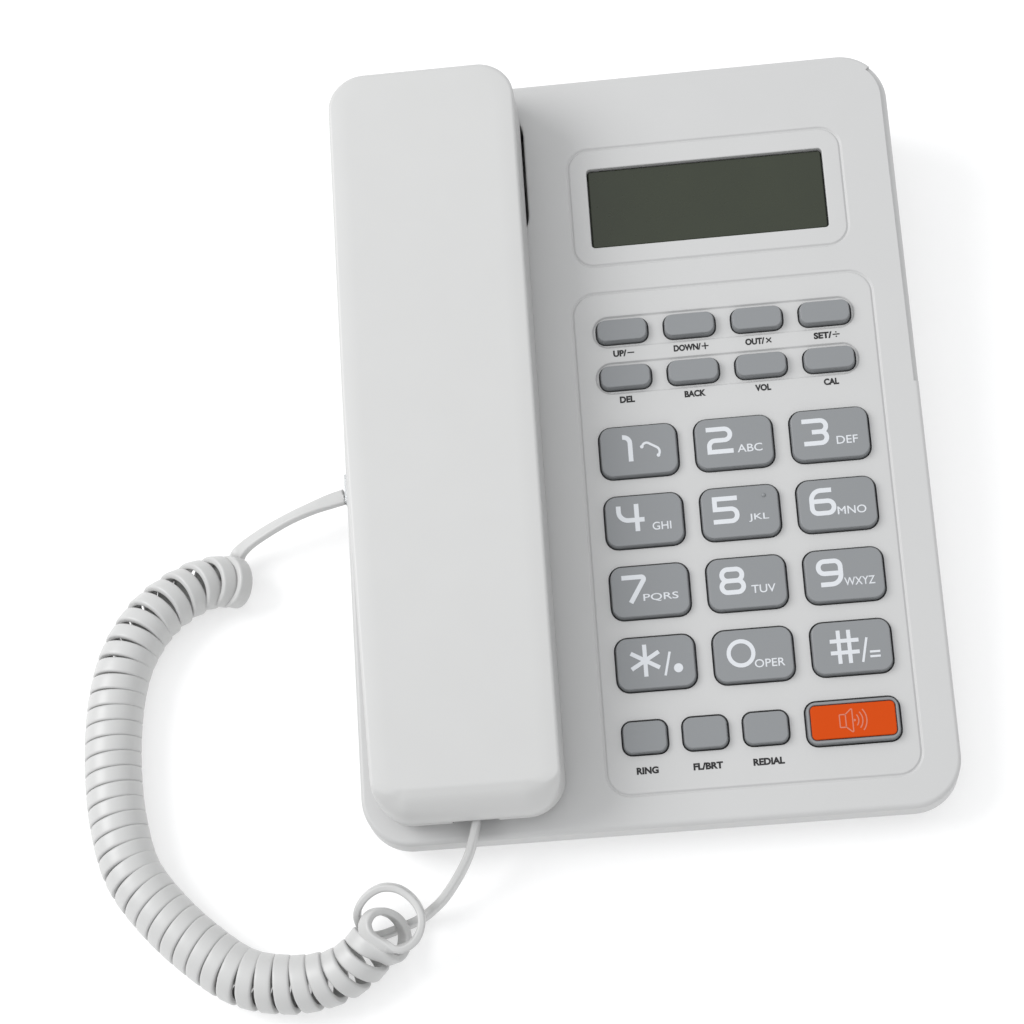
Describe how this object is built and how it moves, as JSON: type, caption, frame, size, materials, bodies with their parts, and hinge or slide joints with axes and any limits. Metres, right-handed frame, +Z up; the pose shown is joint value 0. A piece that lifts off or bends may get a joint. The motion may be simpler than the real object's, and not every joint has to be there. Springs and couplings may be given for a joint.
{
  "type": "corded telephone",
  "caption": "Corded desk telephone with a lift-off handset, curly cord, display, dial keys and function keys on a low sloping base.",
  "frame": {"origin": "on the table, under the middle of the base", "axes": "+Y from the user towards the rear of the base, +X to the right, away from the handset, +Z up"},
  "size_m": [0.2225, 0.2392, 0.0597],
  "materials": {
    "shell_plastic": "fine satin moulded texture, off-white",
    "key_plastic": "satin grey",
    "orange_plastic": "satin orange",
    "display_window": "clear acrylic",
    "display_panel": "unlit liquid crystal panel, dark grey-green",
    "circuit_board": "green solder mask",
    "silicone_mat": "grey silicone",
    "foot_rubber": "matt dark rubber",
    "screw_steel": "zinc plated",
    "clear_plastic": "clear moulded plug",
    "cord_vinyl": "off-white flat vinyl cord",
    "dark_plastic": "black moulded"
  },
  "bodies": {
    "base": {"base_top_shell": "shell_plastic", "base_bottom_shell": "shell_plastic", "battery_cover": "shell_plastic", "display_window": "display_window", "display_panel": "display_panel", "main_circuit_board": "circuit_board", "keypad_membrane": "silicone_mat", "loudspeaker": "dark_plastic", "hook_switch": "dark_plastic", "base_cord_jack": "dark_plastic", "line_jack": "dark_plastic", "rubber_foot_1": "foot_rubber", "rubber_foot_2": "foot_rubber", "rubber_foot_3": "foot_rubber", "rubber_foot_4": "foot_rubber", "base_screw_1": "screw_steel", "base_screw_2": "screw_steel", "base_screw_3": "screw_steel", "base_screw_4": "screw_steel", "board_screw_1": "screw_steel", "board_screw_2": "screw_steel", "base_cord_plug": "clear_plastic", "curly_cord_coil": "cord_vinyl", "cord_lead_to_base": "cord_vinyl", "cord_lead_to_handset": "cord_vinyl"},
    "handset": {"handset_back_shell": "shell_plastic", "handset_front_shell": "shell_plastic", "handset_screw_1": "screw_steel", "handset_screw_2": "screw_steel", "earpiece_speaker": "dark_plastic", "microphone": "screw_steel", "handset_weight": "screw_steel", "handset_cord_jack": "dark_plastic", "handset_cord_plug": "clear_plastic"},
    "hook_plunger": {"hook_plunger": "shell_plastic"},
    "dial_key_1": {"dial_key_1": "key_plastic"},
    "dial_key_2": {"dial_key_2": "key_plastic"},
    "dial_key_3": {"dial_key_3": "key_plastic"},
    "dial_key_4": {"dial_key_4": "key_plastic"},
    "dial_key_5": {"dial_key_5": "key_plastic"},
    "dial_key_6": {"dial_key_6": "key_plastic"},
    "dial_key_7": {"dial_key_7": "key_plastic"},
    "dial_key_8": {"dial_key_8": "key_plastic"},
    "dial_key_9": {"dial_key_9": "key_plastic"},
    "dial_key_star": {"dial_key_star": "key_plastic"},
    "dial_key_0": {"dial_key_0": "key_plastic"},
    "dial_key_hash": {"dial_key_hash": "key_plastic"},
    "up_key": {"up_key": "key_plastic"},
    "down_key": {"down_key": "key_plastic"},
    "out_key": {"out_key": "key_plastic"},
    "set_key": {"set_key": "key_plastic"},
    "delete_key": {"delete_key": "key_plastic"},
    "back_key": {"back_key": "key_plastic"},
    "volume_key": {"volume_key": "key_plastic"},
    "calculator_key": {"calculator_key": "key_plastic"},
    "ring_key": {"ring_key": "key_plastic"},
    "flash_key": {"flash_key": "key_plastic"},
    "redial_key": {"redial_key": "key_plastic"},
    "speaker_key": {"speaker_key": "key_plastic", "speaker_key_inlay": "orange_plastic"}
  },
  "joints": [
    {"name": "handset_lift", "type": "slide", "parent": "base", "child": "handset", "axis": [0, -0.1219, 0.9925], "range_m": [0, 0.08]},
    {"name": "hook_plunger_rise", "type": "slide", "parent": "base", "child": "hook_plunger", "axis": [0, -0.1219, 0.9925], "range_m": [0, 0.004]},
    {"name": "dial_key_1_press", "type": "slide", "parent": "base", "child": "dial_key_1", "axis": [0, 0.1219, -0.9925], "range_m": [0, 0.0012], "stiffness_N_per_m": 400, "springref_m": -0.001},
    {"name": "dial_key_2_press", "type": "slide", "parent": "base", "child": "dial_key_2", "axis": [0, 0.1219, -0.9925], "range_m": [0, 0.0012], "stiffness_N_per_m": 400, "springref_m": -0.001},
    {"name": "dial_key_3_press", "type": "slide", "parent": "base", "child": "dial_key_3", "axis": [0, 0.1219, -0.9925], "range_m": [0, 0.0012], "stiffness_N_per_m": 400, "springref_m": -0.001},
    {"name": "dial_key_4_press", "type": "slide", "parent": "base", "child": "dial_key_4", "axis": [0, 0.1219, -0.9925], "range_m": [0, 0.0012], "stiffness_N_per_m": 400, "springref_m": -0.001},
    {"name": "dial_key_5_press", "type": "slide", "parent": "base", "child": "dial_key_5", "axis": [0, 0.1219, -0.9925], "range_m": [0, 0.0012], "stiffness_N_per_m": 400, "springref_m": -0.001},
    {"name": "dial_key_6_press", "type": "slide", "parent": "base", "child": "dial_key_6", "axis": [0, 0.1219, -0.9925], "range_m": [0, 0.0012], "stiffness_N_per_m": 400, "springref_m": -0.001},
    {"name": "dial_key_7_press", "type": "slide", "parent": "base", "child": "dial_key_7", "axis": [0, 0.1219, -0.9925], "range_m": [0, 0.0012], "stiffness_N_per_m": 400, "springref_m": -0.001},
    {"name": "dial_key_8_press", "type": "slide", "parent": "base", "child": "dial_key_8", "axis": [0, 0.1219, -0.9925], "range_m": [0, 0.0012], "stiffness_N_per_m": 400, "springref_m": -0.001},
    {"name": "dial_key_9_press", "type": "slide", "parent": "base", "child": "dial_key_9", "axis": [0, 0.1219, -0.9925], "range_m": [0, 0.0012], "stiffness_N_per_m": 400, "springref_m": -0.001},
    {"name": "dial_key_star_press", "type": "slide", "parent": "base", "child": "dial_key_star", "axis": [0, 0.1219, -0.9925], "range_m": [0, 0.0012], "stiffness_N_per_m": 400, "springref_m": -0.001},
    {"name": "dial_key_0_press", "type": "slide", "parent": "base", "child": "dial_key_0", "axis": [0, 0.1219, -0.9925], "range_m": [0, 0.0012], "stiffness_N_per_m": 400, "springref_m": -0.001},
    {"name": "dial_key_hash_press", "type": "slide", "parent": "base", "child": "dial_key_hash", "axis": [0, 0.1219, -0.9925], "range_m": [0, 0.0012], "stiffness_N_per_m": 400, "springref_m": -0.001},
    {"name": "up_key_press", "type": "slide", "parent": "base", "child": "up_key", "axis": [0, 0.1219, -0.9925], "range_m": [0, 0.0012], "stiffness_N_per_m": 400, "springref_m": -0.001},
    {"name": "down_key_press", "type": "slide", "parent": "base", "child": "down_key", "axis": [0, 0.1219, -0.9925], "range_m": [0, 0.0012], "stiffness_N_per_m": 400, "springref_m": -0.001},
    {"name": "out_key_press", "type": "slide", "parent": "base", "child": "out_key", "axis": [0, 0.1219, -0.9925], "range_m": [0, 0.0012], "stiffness_N_per_m": 400, "springref_m": -0.001},
    {"name": "set_key_press", "type": "slide", "parent": "base", "child": "set_key", "axis": [0, 0.1219, -0.9925], "range_m": [0, 0.0012], "stiffness_N_per_m": 400, "springref_m": -0.001},
    {"name": "delete_key_press", "type": "slide", "parent": "base", "child": "delete_key", "axis": [0, 0.1219, -0.9925], "range_m": [0, 0.0012], "stiffness_N_per_m": 400, "springref_m": -0.001},
    {"name": "back_key_press", "type": "slide", "parent": "base", "child": "back_key", "axis": [0, 0.1219, -0.9925], "range_m": [0, 0.0012], "stiffness_N_per_m": 400, "springref_m": -0.001},
    {"name": "volume_key_press", "type": "slide", "parent": "base", "child": "volume_key", "axis": [0, 0.1219, -0.9925], "range_m": [0, 0.0012], "stiffness_N_per_m": 400, "springref_m": -0.001},
    {"name": "calculator_key_press", "type": "slide", "parent": "base", "child": "calculator_key", "axis": [0, 0.1219, -0.9925], "range_m": [0, 0.0012], "stiffness_N_per_m": 400, "springref_m": -0.001},
    {"name": "ring_key_press", "type": "slide", "parent": "base", "child": "ring_key", "axis": [0, 0.1219, -0.9925], "range_m": [0, 0.0012], "stiffness_N_per_m": 400, "springref_m": -0.001},
    {"name": "flash_key_press", "type": "slide", "parent": "base", "child": "flash_key", "axis": [0, 0.1219, -0.9925], "range_m": [0, 0.0012], "stiffness_N_per_m": 400, "springref_m": -0.001},
    {"name": "redial_key_press", "type": "slide", "parent": "base", "child": "redial_key", "axis": [0, 0.1219, -0.9925], "range_m": [0, 0.0012], "stiffness_N_per_m": 400, "springref_m": -0.001},
    {"name": "speaker_key_press", "type": "slide", "parent": "base", "child": "speaker_key", "axis": [0, 0.1219, -0.9925], "range_m": [0, 0.0012], "stiffness_N_per_m": 400, "springref_m": -0.001}
  ],
  "couplings": [
    {"joint": "hook_plunger_rise", "follows": "handset_lift", "ratio": 0.05}
  ]
}
